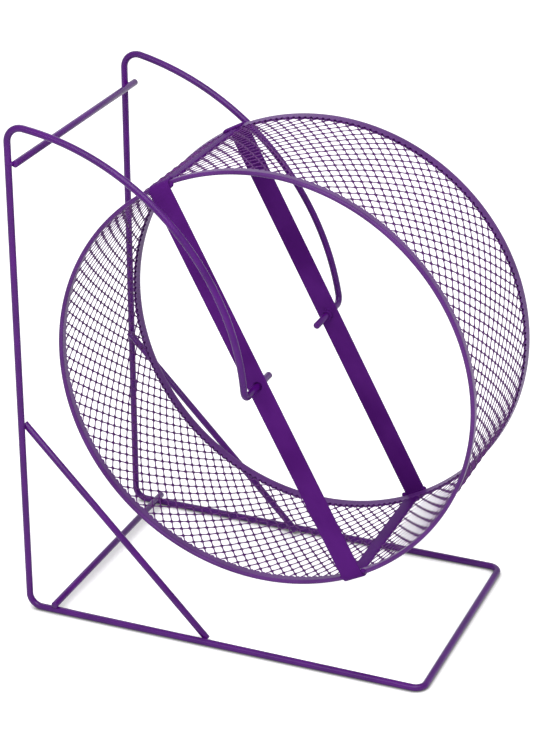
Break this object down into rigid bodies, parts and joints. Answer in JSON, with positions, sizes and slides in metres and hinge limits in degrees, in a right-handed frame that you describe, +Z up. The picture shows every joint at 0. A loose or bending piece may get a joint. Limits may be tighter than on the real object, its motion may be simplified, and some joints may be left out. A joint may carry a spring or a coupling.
{
  "type": "hamster wheel",
  "caption": "Purple wire running wheel for a small pet: a diamond-mesh drum with flat crossbars, turning on the bent ends of a free-standing wire stand.",
  "frame": {"origin": "on the floor, under the middle of the whole outline", "axes": "+Z up; the wheel's axle lies along Y; the stand's risers are towards -X; the near side frame in the picture is towards -Y"},
  "size_m": [0.2098, 0.1234, 0.2392],
  "materials": {
    "wire_coating": "glossy purple coating on round wire",
    "rim_coating": "glossy purple coating on folded sheet",
    "mesh_coating": "thin purple coating on fine mesh",
    "strap_coating": "satin purple coating on flat strap"
  },
  "bodies": {
    "stand": {"near_axle_pin": "wire_coating", "near_axle_arm": "wire_coating", "near_riser": "wire_coating", "near_base_rail": "wire_coating", "near_brace": "wire_coating", "far_axle_pin": "wire_coating", "far_axle_arm": "wire_coating", "far_riser": "wire_coating", "far_base_rail": "wire_coating", "far_brace": "wire_coating", "front_base_rail": "wire_coating", "top_cross_wire": "wire_coating", "floor_cross_wire": "wire_coating"},
    "wheel": {"near_rim": "rim_coating", "far_rim": "rim_coating", "mesh_band": "mesh_coating", "near_crossbar": "strap_coating", "far_crossbar": "strap_coating", "top_tread_strip": "strap_coating", "bottom_tread_strip": "strap_coating"}
  },
  "joints": [
    {"name": "wheel_spin", "type": "hinge", "parent": "stand", "child": "wheel", "pos_m": [0.00665, 0, 0.128], "axis": [0, 1, 0], "continuous": true}
  ]
}
